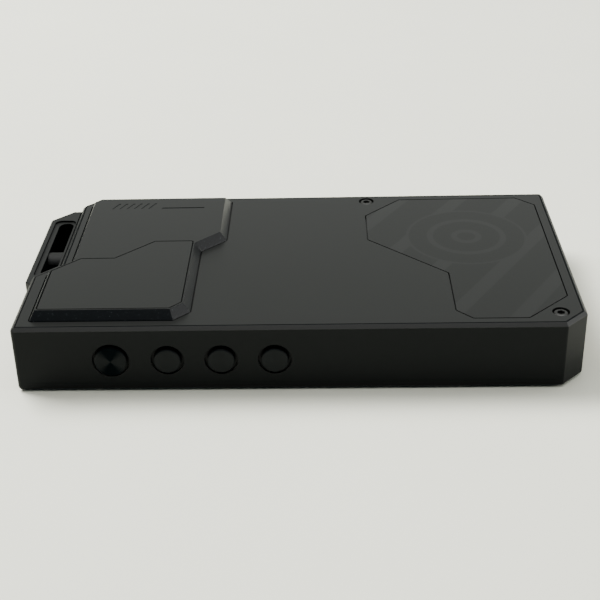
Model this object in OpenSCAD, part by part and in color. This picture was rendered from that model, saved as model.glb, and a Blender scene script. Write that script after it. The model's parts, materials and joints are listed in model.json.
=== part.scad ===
// Pocket digital audio player, built as separate pieces. Millimetres.
// The player lies on its screen. +Z points out of its back, +X is the end with the
// sockets, -X the end with the lanyard loop, and -Y the side with the power key.
// The origin is the middle of the underside.

/* [Case] */
// Length of the case without the lanyard loop
case_l = 128.2; // [128:0.1:129]
// Width of the case without its keys
case_w = 68.5; // [68.4:0.1:69]
// Height from the cover glass to the back plate
case_h = 16.55; // [16.5:0.05:17]
// How far the lanyard loop stands out past the end of the case
loop_out = 1.4; // [1:0.1:1.8]
// Thickness of the side walls
wall = 2.2; // [2.1:0.1:2.2]
// Width and height of the bevel round the back edge
rim_bevel = 0.75; // [0.4:0.05:0.8]
// Chamfer across the corner between the sockets and the power key side
corner_cut = 5.2; // [4:0.1:5.4]
// Depth of the step in the end beside the lanyard loop
end_step = 5.9; // [5.5:0.1:6]
// Thickness of the web between the display and the battery
web_t = 0.8; // [0.6:0.1:0.8]

/* [Display] */
// Thickness of the cover glass
glass_t = 0.85; // [0.7:0.05:0.9]
// How far the cover glass stands proud of the case
glass_proud = 0.25; // [0.1:0.05:0.3]
// Length of the display module
lcd_l = 108; // [106:0.5:108]
// Width of the display module
lcd_w = 61.4; // [60:0.1:61.4]

/* [Back] */
// Thickness of the back plate
plate_t = 1.2; // [1.1:0.1:1.3]
// Width of the case's own rim outside the back plate
rim_w = 1.0; // [0.9:0.05:1.2]
// Gap between the rim and the back plate
seam = 0.12; // [0.08:0.01:0.2]
// Gap round the inlaid panels
groove = 0.28; // [0.2:0.01:0.35]
// Thickness of the inlaid panels
inlay_t = 0.7; // [0.5:0.1:0.8]
// Height of the antenna cover above the back plate
cover_h = 2.05; // [1.8:0.05:2.4]
// Width of the slope round the antenna cover
cover_slope = 1.6; // [1.2:0.1:1.8]

/* [Keys] */
// Diameter of the power key
power_d = 7.3; // [7:0.02:7.6]
// Gap that shows round the power key
power_gap = 0.52; // [0.2:0.02:0.6]
// Diameter of the other keys
key_d = 6.06; // [5.6:0.02:7]
// Gap that shows round the other keys
key_gap = 0.7; // [0.2:0.02:0.7]
// How far a key stands out of the case
key_proud = 0.6; // [0.2:0.05:0.7]
// How far a key travels
key_travel = 0.35; // [0.2:0.05:0.35]
// Radial clearance between a key and its guide bore
key_fit = 0.06; // [0.03:0.01:0.1]

/* [Sockets] */
// Bore of the 3.5 mm headphone socket
phone_bore = 3.6; // [3.52:0.02:3.7]
// Bore of the 4.4 mm balanced socket
balanced_bore = 4.5; // [4.42:0.02:4.6]
// Length of the headphone socket's body
phone_l = 14.5; // [13:0.5:16]
// Length of the balanced socket's body
balanced_l = 19; // [18:0.5:19]

/* [Hidden] */
$fn = 64;

// Colours
case_black = [0.17, 0.17, 0.18];
plate_black = [0.24, 0.25, 0.25];
cover_black = [0.12, 0.13, 0.15];
steel = [0.72, 0.72, 0.74];
gold = [0.83, 0.66, 0.33];
board_green = [0.08, 0.28, 0.20];
flex_amber = [0.72, 0.42, 0.12];
plastic_black = [0.08, 0.08, 0.09];

// Plan of the case: x runs from the loop end to the socket end, y across it.
x_right = (case_l + loop_out) / 2;
x_left = x_right - case_l;
x_loop = -x_right;
x_step = x_left + end_step;
y_edge = case_w / 2;
step_y = -9.2;
end_chamfer = 4.0;
corner_steps = 5;
case_corners = [
    [x_left, -y_edge],
    [x_right - corner_cut, -y_edge],
    [x_right, -y_edge + corner_cut],
    [x_right, y_edge],
    [x_step + end_chamfer, y_edge],
    [x_step, y_edge - end_chamfer],
    [x_step, step_y + end_step],
    [x_left, step_y]
];
case_radii = [1.0, 0.7, 0.7, 1.3, 0.6, 0.6, 0.5, 0.5];

// Levels, from the glass up to the top of the antenna cover
z_case = glass_proud;
z_shelf = glass_t + 0.15;
z_web = 2.6;
z_floor = z_web + web_t;
z_ledge = case_h - plate_t;
z_cover = case_h + cover_h;
z_rim = case_h - rim_bevel;
edge_round = 1.0;
glass_inset = 1.15;
glass_gap = 0.1;

// Lanyard loop, its slot, and the bar across the slot
loop_end_y = [-10.6, 28.35];
loop_bevel = 0.35;
slot_x = [x_loop + 2.6, x_step - 1.0];
slot_y = [-6.2, 21.95];
slot_rim_x = [slot_x[0] - 1.25, slot_x[1] + 0.5];
slot_rim_y = [slot_y[0] - 1.85, slot_y[1] + 0.85];
slot_rim_depth = 0.5;
loop_groove = 0.28;
loop_groove_depth = 0.4;
groove_corners = [
    [x_left + 0.83, step_y + 0.77],
    [x_step + 0.03, step_y + end_step - 0.03],
    [x_step + 0.03, loop_end_y[1] - 0.45],
    [x_step - loop_groove, loop_end_y[1] - 0.45],
    [x_step - loop_groove, step_y + end_step + 0.4 * loop_groove],
    [x_left + 0.8 - 0.7 * loop_groove, step_y + 0.8 + 0.7 * loop_groove]
];
bar_r = 2.6;
bar_y = 5.56;
bar_z = 12.33;

// Antenna cover on the back, with the inlaid panel in its front half
cover_left = x_left + 3.3;
cover_front = -y_edge + 3.4;
cover_back = y_edge - 3.0;
cover_corners = [
    [cover_left, cover_front],
    [-27.3, cover_front],
    [-23.65, cover_front + 3.7],
    [-23.65, 2.6],
    [-17.7, 8.6],
    [-17.7, cover_back],
    [-52.7, cover_back],
    [-55.2, cover_back - 2.5],
    [-55.2, -4.75],
    [cover_left, -9.65]
];
cover_foot = [
    [cover_left + 0.45, cover_front],
    [-27.3, cover_front],
    [-23.65, cover_front + 3.7],
    [-23.65, 2.6],
    [-17.7, 8.6],
    [-17.7, cover_back],
    [-52.7, cover_back],
    [-54.75, cover_back - 2.05],
    [-54.75, -4.3],
    [cover_left + 0.45, -9.2]
];
cover_radii = [0.6, 0.4, 0.4, 0.4, 0.4, 0.6, 0.4, 0.4, 0.4, 0.4];
tile_margin = cover_slope + 0.5;
tile_split = [[-51.95, -4.5], [-43.8, -4.5], [-35.0, 4.3]];
tile_corners = [
    [cover_left + tile_margin, cover_front + tile_margin],
    [-28.2, cover_front + tile_margin],
    [-23.65 - tile_margin, cover_front + tile_margin + 2.6],
    [-23.65 - tile_margin, tile_split[2][1]],
    tile_split[2],
    tile_split[1],
    tile_split[0],
    [cover_left + tile_margin, -10.55]
];
cover_sink = 0.5;
cover_floor = 0.65;
window_x = [-50, -30];
window_y = [-24, -12];

// Inlaid panel beside the cover
panel_corners = [
    [17.6, 7.95], [36.0, -10.0], [36.0, -27.65], [39.4, -31.2], [51.6, -31.2],
    [61.4, -21.6], [61.4, 26.8], [57.0, 31.1], [26.6, 31.0], [17.6, 21.6]
];

// Screws through the back plate as [x, y, sink]: two that show, and two sunk under the antenna cover
plate_screws = [[17.96, 30.55, 0], [58.87, -28.87, 0], [-57.6, -28.4, 0.4], [-51.5, 28.3, 0.4]];
head_r = 1.68;
head_h = 1.2;
screw_r = 0.78;
thread_r = 0.8;
socket_d = 1.75;
counterbore_r = 1.95;
counterbore_depth = 1.4;
boss_r = 2.6;
boss_drop = 1.1;

// Keys: [x, diameter] along each side
key_z = 8.15;
power_x = -41.45;
track_x = [-28.69, -16.61, -4.62];
flange_r = 4.4;
flange_t = 0.6;
flange_gap = 0.05;
post_r = 1.2;
switch_t = 0.8;
key_board_t = 0.6;
bracket_t = 0.7;
key_recess = 0.9;
post_end = wall + flange_gap + flange_t + 1.6;
switch_face = post_end + key_travel + 0.05;
board_face = switch_face + switch_t;
bracket_face = board_face + key_board_t;
bracket_x = [-48, 2];
bracket_tabs = [-35.07, -10.6];

// Boards and what they carry
board_t = 1.0;
audio_z = z_floor + 0.6;
audio_top = audio_z + board_t;
main_z = z_floor + 3.0;
main_top = main_z + board_t;
audio_corners = [[20.8, -31.2], [54.8, -31.2], [54.8, -25.2], [62.2, -25.2], [62.2, 31.2], [20.8, 31.2]];
main_corners = [[-60.9, -25.5], [-39.5, -25.5], [-39.5, 25.5], [-55, 25.5], [-55, -4.3], [-60.9, -10.2]];
audio_holes = [[23.4, -28.4], [51.5, -28.4], [23.4, 26], [58.5, 28]];
main_holes = [[-58.6, -18], [-41.7, -23.3], [-41.7, 23.3], [-52.6, 22.5]];
standoff_r = 1.7;

// Sockets in the end of the case
socket_z = 8.6;
phone_y = -18.5;
balanced_y = -2;
usb_y = 15;
ring_gap = 0.02;
phone_ring_r = 3.3;
balanced_ring_r = 4.0;
usb_w = 9.0;
usb_h = 3.3;
shell_t = 0.3;
card_x = 35;
card_w = 12.4;
card_t = 1.4;

// Battery
battery_lo = [-37, -26.2, z_floor + 0.25];
battery_hi = [18.2, 26.2, 14.7];

// Unit normal on the inner side of the edge from a to b of an anticlockwise outline.
function inward(a, b) = let (d = (b - a) / norm(b - a)) [-d[1], d[0]];

// Outline p with every edge moved inwards by d and kept parallel to itself.
function inset(p, d) = [
    for (i = [0:len(p) - 1])
        let (
            n = len(p),
            a = inward(p[(i + n - 1) % n], p[i]),
            b = inward(p[i], p[(i + 1) % n])
        )
        p[i] + d * (a + b) / (1 + a * b)
];

// Arc of radius r in place of corner i. An inset d tightens outer corners and opens inner ones.
function corner_arc(p, i, r, d) =
    let (
        n = len(p),
        a = inward(p[(i + n - 1) % n], p[i]),
        b = inward(p[i], p[(i + 1) % n]),
        turn = atan2(a[0] * b[1] - a[1] * b[0], a * b),
        side = turn > 0 ? 1 : -1,
        bend = max(r - side * d, 0.05),
        centre = p[i] + side * bend * (a + b) / (1 + a * b),
        start = atan2(-side * a[1], -side * a[0])
    )
    [
        for (k = [0:corner_steps])
            let (angle = start + turn * k / corner_steps)
            centre + bend * [cos(angle), sin(angle)]
    ];

// Outline p with its corners rounded to the radii r and inset by d.
function rounded(p, r, d = 0) =
    let (q = inset(p, d))
    [for (i = [0:len(p) - 1]) each corner_arc(q, i, is_list(r) ? r[i] : r, d)];

// Straight-sided solid of an outline between two levels.
module slab(p, r, d, z0, z1) {
    translate([0, 0, z0])
        linear_extrude(z1 - z0)
            polygon(rounded(p, r, d));
}

// Solid through a stack of layers of one outline, where each layer is [level, inset].
// A band of flat strips goes up the outside and down a core, and the core is straight.
module layered(p, r, layers) {
    last = len(layers) - 1;
    core = max([for (layer = layers) layer[1]]) + 0.6;
    path = concat(layers, [[layers[last][0], core], [layers[0][0], core]]);
    rings = [for (layer = path) rounded(p, r, layer[1])];
    n = len(rings[0]);
    points = [for (k = [0:len(path) - 1]) for (q = rings[k]) [q[0], q[1], path[k][0]]];
    strips = [
        for (k = [0:len(path) - 1])
            for (i = [0:n - 1])
                let (j = (i + 1) % n, m = (k + 1) % len(path))
                [k * n + i, m * n + i, m * n + j, k * n + j]
    ];
    polyhedron(points, strips, convexity = 8);
    slab(p, r, core - 0.3, layers[0][0], layers[last][0]);
}

// Box between two opposite corners.
module box(lo, hi) {
    translate(lo)
        cube(hi - lo);
}

// Rectangle as four corners, anticlockwise.
function rectangle(lo, hi) = [[lo[0], lo[1]], [hi[0], lo[1]], [hi[0], hi[1]], [lo[0], hi[1]]];

// Stadium-shaped bar of width w and height h, lying along +X from x0 to x1.
module stadium_x(x0, x1, y, z, w, h) {
    for (side = [-1, 1])
        translate([x0, y + side * (w - h) / 2, z])
            rotate([0, 90, 0])
                cylinder(d = h, h = x1 - x0);
    box([x0, y - (w - h) / 2, z - h / 2], [x1, y + (w - h) / 2, z + h / 2]);
}

// Cylinder along +X.
module rod_x(x0, x1, y, z, r) {
    translate([x0, y, z])
        rotate([0, 90, 0])
            cylinder(r = r, h = x1 - x0);
}

// Hole for one key through the wall on side s: a wide mouth, then the guide bore.
module key_hole(x, d, gap, s) {
    translate([x, s * (y_edge + 1), key_z])
        rotate([s * 90, 0, 0]) {
            cylinder(d = d + 2 * gap, h = 1 + key_recess);
            cylinder(r = d / 2 + key_fit, h = 1 + wall + 1);
        }
}

module loop_solid() {
    corners = [
        [x_loop, loop_end_y[0]],
        [x_left, loop_end_y[0] - loop_out],
        [x_step + 1, step_y],
        [x_step + 1, loop_end_y[1]],
        [x_step - 2.15, loop_end_y[1]],
        [x_loop, loop_end_y[1] - 5.15]
    ];
    radii = [0.6, 0.3, 0.3, 0.3, 0.8, 0.8];
    layered(corners, radii, [
        [z_case + loop_bevel, loop_bevel],
        [z_case + 2 * loop_bevel, 0],
        [z_rim - loop_bevel, 0],
        [z_rim, loop_bevel]
    ]);
}

// Cut with one square end along the step and one rounded end.
module slot_cut(x, y, end_r, z0, z1) {
    corners = [[x[0], y[0]], [x[1], y[0] + x[1] - x[0]], [x[1], y[1]], [x[0], y[1]]];
    slab(corners, [0.5, 0.5, end_r, end_r], 0, z0, z1);
}

module end_holes() {
    rod_x(x_right - wall - 1, x_right + 1, phone_y, socket_z, phone_ring_r + ring_gap);
    rod_x(x_right - wall - 1, x_right + 1, balanced_y, socket_z, balanced_ring_r + ring_gap);
    stadium_x(x_right - wall - 1, x_right + 1, usb_y, socket_z, usb_w + 0.2, usb_h + 0.2);
}

module card_slit() {
    box(
        [card_x - card_w / 2, y_edge - wall - 1, audio_top + 0.1],
        [card_x + card_w / 2, y_edge + 1, audio_top + 0.1 + card_t]
    );
}

module frame() {
    color(case_black)
        difference() {
            union() {
                layered(case_corners, case_radii, [
                    [z_case, edge_round * 0.7],
                    [z_case + edge_round * 0.13, edge_round * 0.4],
                    [z_case + edge_round * 0.45, edge_round * 0.12],
                    [z_case + edge_round, 0],
                    [z_rim, 0],
                    [case_h, rim_bevel]
                ]);
                loop_solid();
            }
            slab(case_corners, case_radii, glass_inset, -1, z_shelf);
            box([-lcd_l / 2 + 0.6, -lcd_w / 2 - 0.3, 0], [lcd_l / 2 + 1.4, lcd_w / 2 + 0.3, z_web]);
            difference() {
                slab(case_corners, case_radii, wall, z_floor, case_h + 1);
                frame_posts();
            }
            slab(case_corners, case_radii, rim_w, z_ledge, case_h + 1);
            box([-52.2, -8, z_web - 1], [-50.2, 8, z_floor + 1]);
            slot_cut(slot_x, slot_y, (slot_x[1] - slot_x[0]) / 2 - 0.05, -1, case_h + 1);
            slot_cut(slot_rim_x, slot_rim_y, 1.6, z_rim - slot_rim_depth, case_h + 1);
            slab(groove_corners, 0.05, 0, z_rim - loop_groove_depth, z_rim + 0.02);
            key_hole(power_x, power_d, power_gap, -1);
            for (x = track_x) {
                key_hole(x, key_d, key_gap, -1);
                key_hole(x, key_d, key_gap, 1);
            }
            for (p = plate_screws) {
                translate([p[0], p[1], z_ledge - boss_drop - 7])
                    cylinder(r = thread_r, h = 8);
                translate([p[0], p[1], case_h - counterbore_depth - p[2] - 0.02])
                    cylinder(r = counterbore_r, h = 2);
            }
            for (p = audio_holes)
                translate([p[0], p[1], z_web - 1])
                    cylinder(r = 0.7, h = audio_z - z_web + 2);
            for (p = main_holes)
                translate([p[0], p[1], z_web - 1])
                    cylinder(r = 0.7, h = main_z - z_web + 2);
            for (x = bracket_tabs)
                for (s = [-1, 1])
                    translate([x, s * 30, z_web - 1])
                        cylinder(r = 0.7, h = web_t + 2);
            end_holes();
            card_slit();
        }
    color(case_black)
        rod_x(slot_x[0] - 0.5, slot_x[1] + 0.5, bar_y, bar_z, bar_r);
}

// Posts that stand on the web inside the case
module frame_posts() {
    for (p = plate_screws)
        translate([p[0], p[1], z_floor - 1])
            cylinder(r = boss_r, h = z_ledge - boss_drop - z_floor + 1);
    for (p = audio_holes)
        translate([p[0], p[1], z_floor - 1])
            cylinder(r = standoff_r, h = audio_z - z_floor + 1);
    for (p = main_holes)
        translate([p[0], p[1], z_floor - 1])
            cylinder(r = standoff_r, h = main_z - z_floor + 1);
}

module back_plate() {
    color(plate_black)
        difference() {
            union() {
                slab(case_corners, case_radii, rim_w + seam, z_ledge, case_h);
                intersection() {
                    slab(case_corners, case_radii, wall + 0.3, z_ledge - boss_drop, z_ledge + 0.1);
                    for (p = plate_screws)
                        translate([p[0], p[1], z_ledge - boss_drop])
                            cylinder(r = boss_r, h = boss_drop + 0.1);
                }
            }
            slab(panel_corners, 0.6, -groove, case_h - inlay_t, case_h + 1);
            slab(cover_foot, cover_radii, -seam, case_h - cover_sink, case_h + 1);
            for (p = plate_screws) {
                translate([p[0], p[1], case_h - counterbore_depth - p[2]])
                    cylinder(r = counterbore_r, h = counterbore_depth + 1);
                translate([p[0], p[1], 0])
                    cylinder(r = screw_r + 0.15, h = case_h);
            }
            box(
                [window_x[0], window_y[0], z_ledge - 1],
                [window_x[1], window_y[1], case_h + 1]
            );
        }
}

module back_inlay() {
    color(plate_black)
        slab(panel_corners, 0.6, 0, case_h - inlay_t, case_h);
}

// The slopes run out over a foot outline that is steeper along the left side.
module antenna_cover() {
    color(cover_black)
        difference() {
            intersection() {
                layered(cover_corners, cover_radii, [[case_h - cover_sink, 0], [case_h, 0], [z_cover, cover_slope]]);
                slab(cover_foot, cover_radii, 0, case_h - cover_sink - 1, z_cover + 1);
            }
            slab(tile_corners, 0.5, -groove, z_cover - inlay_t, z_cover + 1);
            slab(
                rectangle([window_x[0] - 3, window_y[0] - 1.5], [window_x[1] + 2, window_y[1] + 8]),
                0.5, 0, case_h - 1, case_h + cover_floor
            );
        }
}

module antenna_inlay() {
    color(plate_black)
        slab(tile_corners, 0.5, 0, z_cover - inlay_t, z_cover);
}

// Screw with its seat at z = 0: a domed head with a six-sided socket, and a plain shank.
module screw(r, h, shank_r, shank_l, key_size) {
    difference() {
        rotate_extrude()
            polygon([
                [0, -shank_l], [shank_r, -shank_l], [shank_r, 0], [r, 0], [r, h * 0.45],
                [r * 0.9, h * 0.78], [r * 0.7, h * 0.95], [r * 0.5, h], [0, h]
            ]);
        translate([0, 0, h * 0.3])
            cylinder(d = key_size, h = h, $fn = 6);
    }
}

module back_screws() {
    color(steel)
        for (p = plate_screws)
            translate([p[0], p[1], case_h - counterbore_depth - p[2]])
                screw(head_r, head_h, screw_r, 6, socket_d);
}

module display_glass() {
    color([0.03, 0.03, 0.04])
        layered(case_corners, case_radii, [
            [0, glass_inset + glass_gap + 0.3],
            [0.12, glass_inset + glass_gap + 0.08],
            [0.3, glass_inset + glass_gap],
            [glass_t, glass_inset + glass_gap]
        ]);
}

module display_adhesive() {
    color(plastic_black)
        difference() {
            slab(case_corners, case_radii, glass_inset + 0.2, glass_t, z_shelf);
            box([-lcd_l / 2 + 0.6, -lcd_w / 2 - 0.3, 0], [lcd_l / 2 + 1.4, lcd_w / 2 + 0.3, z_web]);
        }
}

module lcd_module() {
    color([0.15, 0.15, 0.17])
        box([-lcd_l / 2 + 1, -lcd_w / 2, glass_t], [lcd_l / 2 + 1, lcd_w / 2, z_web - 0.2]);
}

module lcd_flex() {
    color(flex_amber) {
        box([-53, -7, z_web - 0.2], [-51, 7, z_web - 0.05]);
        box([-51.15, -7, z_web - 0.2], [-51, 7, main_z]);
    }
}

module battery_pack() {
    color([0.78, 0.79, 0.8])
        slab(rectangle(battery_lo, battery_hi), 1.2, 0, battery_lo[2], battery_hi[2]);
}

module battery_pads() {
    color(plastic_black)
        for (y = [-16, 8])
            box([-32, y, z_floor], [14, y + 8, battery_lo[2]]);
}

module battery_lead() {
    color([0.7, 0.1, 0.08])
        for (y = [-2, 0, 2])
            rod_x(battery_hi[0], 22.5, y, audio_top + 1.4, 0.45);
}

module battery_connector() {
    color([0.9, 0.88, 0.8])
        box([22.5, -3.4, audio_top], [25.2, 3.4, audio_top + 2.2]);
}

// Board of one outline with its screw holes.
module board(p, holes, z) {
    color(board_green)
        difference() {
            slab(p, 0.5, 0, z, z + board_t);
            for (h = holes)
                translate([h[0], h[1], z - 1])
                    cylinder(r = 0.9, h = board_t + 2);
        }
}

module main_board() {
    board(main_corners, main_holes, main_z);
}

module audio_board() {
    board(audio_corners, audio_holes, audio_z);
}

// Drawn metal can over a group of chips, open at the board.
module shield(lo, hi, h, z) {
    color(steel)
        difference() {
            slab(rectangle(lo, hi), 0.4, 0, z, z + h);
            slab(rectangle(lo, hi), 0.4, 0.2, z - 1, z + h - 0.2);
        }
}

module processor_shield() {
    shield([-54, -8], [-41, 10], 1.8, main_top);
}

module heat_spreader() {
    color([0.72, 0.42, 0.26])
        box([-54.5, -9, main_top + 1.8], [-40.5, 24, main_top + 2.0]);
}

module wireless_shield() {
    shield([-56, -24.5], [-46, -12], 1.5, main_top);
}

module power_shield() {
    shield([-50.2, 12], [-44, 21.5], 1.8, main_top);
}

module antenna_flex() {
    color(flex_amber)
        box(
            [window_x[0] - 2, window_y[0] + 1, case_h + cover_floor - 0.15],
            [window_x[1] + 1, window_y[1] + 7, case_h + cover_floor]
        );
}

module antenna_pins() {
    color(gold)
        for (y = [-21, -15])
            translate([-43, y, main_top]) {
                cylinder(r = 1.1, h = 4);
                cylinder(r = 0.6, h = case_h + cover_floor - 0.15 - main_top);
            }
}

module board_link() {
    color(flex_amber) {
        box([-44.5, -6, main_z - 0.15], [-37.6, 6, main_z]);
        box([-37.75, -6, z_floor], [-37.6, 6, main_z]);
        box([-37.6, -6, z_floor], [21.6, 6, z_floor + 0.15]);
        box([21.45, -6, z_floor], [21.6, 6, audio_z]);
    }
}

module dac_shield() {
    shield([26, -2], [40, 13], 2.0, audio_top);
}

module amplifier_shield() {
    shield([26, -26], [42, -6], 2.4, audio_top);
}

module oscillators() {
    color([0.85, 0.8, 0.6])
        for (x = [26.5, 33])
            box([x, 13.6, audio_top], [x + 3.2, 16.1, audio_top + 1]);
}

module audio_capacitors() {
    color([0.15, 0.3, 0.55])
        for (x = [46, 51.4])
            for (y = [7, 12.4, 17.8])
                translate([x, y, audio_top])
                    cylinder(r = 2.2, h = 5.4);
}

// Socket body with a round bore from its mouth at the inner face of the wall.
module socket(y, length, w, h, bore) {
    face = x_right - wall - 0.1;
    color(plastic_black)
        difference() {
            box([face - length, y - w / 2, audio_top], [face, y + w / 2, socket_z + h / 2]);
            rod_x(face - length + 1.5, face + 1, y, socket_z, bore / 2);
        }
}

// Metal ring in the wall round a socket's mouth.
module socket_ring(y, r, bore) {
    color(gold)
        translate([x_right - wall, y, socket_z])
            rotate([0, 90, 0])
                rotate_extrude()
                    polygon([
                        [bore / 2, 0], [r, 0], [r, wall],
                        [r - 0.5, wall], [bore / 2 + 0.4, wall - 0.3], [bore / 2, wall - 0.7]
                    ]);
}

module headphone_socket() {
    socket(phone_y, phone_l, 7.4, 6.0, phone_bore);
}

module headphone_ring() {
    socket_ring(phone_y, phone_ring_r, phone_bore);
}

module balanced_socket() {
    socket(balanced_y, balanced_l, 9.6, 7.2, balanced_bore);
}

module balanced_ring() {
    socket_ring(balanced_y, balanced_ring_r, balanced_bore);
}

module usb_port() {
    mouth = x_right - 0.3;
    back = mouth - 9;
    color(steel) {
        difference() {
            stadium_x(back, mouth, usb_y, socket_z, usb_w, usb_h);
            stadium_x(back + 1.5, mouth + 1, usb_y, socket_z, usb_w - 2 * shell_t, usb_h - 2 * shell_t);
        }
        box([back, usb_y - 3.3, socket_z - 0.35], [mouth - 0.6, usb_y + 3.3, socket_z + 0.35]);
        box([back, usb_y - 4, audio_top], [back + 6, usb_y + 4, socket_z - usb_h / 2 + 0.2]);
    }
}

module card_socket() {
    color(steel)
        difference() {
            box(
                [card_x - card_w / 2 - 0.6, y_edge - wall - 15, audio_top],
                [card_x + card_w / 2 + 0.6, y_edge - wall - 0.1, audio_top + 1.7]
            );
            box(
                [card_x - card_w / 2 + 0.3, y_edge - wall - 14, audio_top + 0.3],
                [card_x + card_w / 2 - 0.3, y_edge, audio_top + 1.4]
            );
        }
}

module board_screws() {
    color(steel) {
        for (p = audio_holes)
            translate([p[0], p[1], audio_top])
                screw(1.35, 0.7, 0.65, audio_top - z_web - 0.1, 1.1);
        for (p = main_holes)
            translate([p[0], p[1], main_top])
                screw(1.35, 0.7, 0.65, main_top - z_web - 0.1, 1.1);
    }
}

// One key on side s: a dished, chamfered cap, a flange behind the wall and a post to the switch.
module key(x, d, s) {
    r = d / 2;
    chamfer = 0.2;
    dish = 0.06;
    color(case_black)
        translate([x, s * y_edge, key_z])
            rotate([-s * 90, 0, 0])
                rotate_extrude()
                    polygon([
                        [0, -post_end], [post_r, -post_end],
                        [post_r, -wall - flange_gap - flange_t],
                        [flange_r, -wall - flange_gap - flange_t],
                        [flange_r, -wall - flange_gap],
                        [r, -wall - flange_gap],
                        [r, key_proud - chamfer],
                        [r - chamfer, key_proud],
                        [r - chamfer - 0.15, key_proud],
                        [0, key_proud - dish]
                    ]);
}

module power_key() {
    key(power_x, power_d, -1);
}

module previous_key() {
    key(track_x[0], key_d, -1);
}

module play_key() {
    key(track_x[1], key_d, -1);
}

module next_key() {
    key(track_x[2], key_d, -1);
}

module volume_up_key() {
    key(track_x[0], key_d, 1);
}

module volume_down_key() {
    key(track_x[1], key_d, 1);
}

module function_key() {
    key(track_x[2], key_d, 1);
}

// Switches on side s, each with a short round plunger.
module switches(xs, s) {
    color([0.8, 0.8, 0.78])
        for (x = xs)
            translate([x, s * (y_edge - board_face), key_z])
                rotate([-s * 90, 0, 0]) {
                    translate([-1.7, -1.7, 0])
                        cube([3.4, 3.4, switch_t - 0.25]);
                    cylinder(r = 0.9, h = switch_t);
                }
}

module right_switches() {
    switches(concat([power_x], track_x), -1);
}

module left_switches() {
    switches(track_x, 1);
}

// Thin upright plate on side s between two depths from the wall's outer face.
module side_plate(x0, x1, s, near, far, z0, z1) {
    low = s < 0 ? -y_edge + near : y_edge - far;
    box([x0, low, z0], [x1, low + far - near, z1]);
}

module key_board(x0, x1, s) {
    color(board_green)
        side_plate(x0, x1, s, board_face, bracket_face, z_floor + 1, 12.6);
}

// Upright bracket behind a key board, with two feet screwed to the web.
module key_bracket(s) {
    color(steel)
        difference() {
            union() {
                side_plate(bracket_x[0], bracket_x[1], s, bracket_face, bracket_face + bracket_t, z_floor, 13);
                for (x = bracket_tabs)
                    side_plate(x - 1.6, x + 1.6, s, 2.8, bracket_face + 0.1, z_floor, z_floor + bracket_t);
            }
            for (x = bracket_tabs)
                translate([x, s * 30, z_floor - 1])
                    cylinder(r = 0.8, h = 3);
        }
}

module right_key_board() {
    key_board(-47, 0, -1);
}

module left_key_board() {
    key_board(-34, 0, 1);
}

module right_key_bracket() {
    key_bracket(-1);
}

module left_key_bracket() {
    key_bracket(1);
}

module bracket_screws() {
    color(steel)
        for (x = bracket_tabs)
            for (s = [-1, 1])
                translate([x, s * 30, z_floor + bracket_t])
                    screw(1.2, 0.6, 0.65, bracket_t + web_t - 0.1, 1.0);
}

frame();
back_plate();
back_inlay();
antenna_cover();
antenna_inlay();
back_screws();
display_glass();
display_adhesive();
lcd_module();
lcd_flex();
battery_pack();
battery_pads();
battery_lead();
battery_connector();
main_board();
processor_shield();
heat_spreader();
wireless_shield();
power_shield();
antenna_flex();
antenna_pins();
board_link();
audio_board();
dac_shield();
amplifier_shield();
oscillators();
audio_capacitors();
headphone_socket();
headphone_ring();
balanced_socket();
balanced_ring();
usb_port();
card_socket();
board_screws();
power_key();
previous_key();
play_key();
next_key();
volume_up_key();
volume_down_key();
function_key();
right_switches();
right_key_board();
right_key_bracket();
left_switches();
left_key_board();
left_key_bracket();
bracket_screws();
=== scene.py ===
import json
import math

import bmesh
import bpy
import numpy as np
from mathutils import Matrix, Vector
from mathutils.geometry import delaunay_2d_cdt


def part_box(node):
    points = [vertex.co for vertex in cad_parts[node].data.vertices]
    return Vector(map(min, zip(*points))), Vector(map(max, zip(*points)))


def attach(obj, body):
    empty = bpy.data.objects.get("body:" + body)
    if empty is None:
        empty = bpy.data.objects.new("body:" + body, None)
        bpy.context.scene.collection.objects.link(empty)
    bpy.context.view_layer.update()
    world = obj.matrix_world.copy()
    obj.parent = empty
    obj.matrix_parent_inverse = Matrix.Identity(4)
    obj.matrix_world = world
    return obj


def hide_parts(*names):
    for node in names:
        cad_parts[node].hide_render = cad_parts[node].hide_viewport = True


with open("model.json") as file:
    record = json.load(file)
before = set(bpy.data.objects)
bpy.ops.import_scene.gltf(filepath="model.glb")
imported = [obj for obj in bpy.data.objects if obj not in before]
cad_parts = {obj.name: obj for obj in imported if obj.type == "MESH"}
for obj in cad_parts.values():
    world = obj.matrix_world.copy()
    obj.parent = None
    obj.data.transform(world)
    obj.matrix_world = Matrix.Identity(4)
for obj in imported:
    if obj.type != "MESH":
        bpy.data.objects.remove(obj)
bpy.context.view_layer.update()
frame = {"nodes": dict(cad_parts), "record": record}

# Digital audio player lying on its screen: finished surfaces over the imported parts.
# Shapes are worked out in millimetres and written in metres. +Z is out of the player's back,
# +X the end with the sockets, -X the lanyard loop, and -Y the side with the power key.

nodes = frame["nodes"]
mm = 0.001
slotOf = {part["node"]: part["material_slot"] for part in frame["record"]["subparts"]}
print("loaded", len(nodes), "nodes")


def boxOf(node):  # lowest and highest corner of a node, in millimetres
    low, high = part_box(node)
    return np.array(low) / mm, np.array(high) / mm


def inwardNormals(a, b):  # unit normals on the inner side of the edges from a to b
    d = b - a
    d = d / np.linalg.norm(d, axis=1, keepdims=True)
    return np.stack([-d[:, 1], d[:, 0]], 1)


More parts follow.
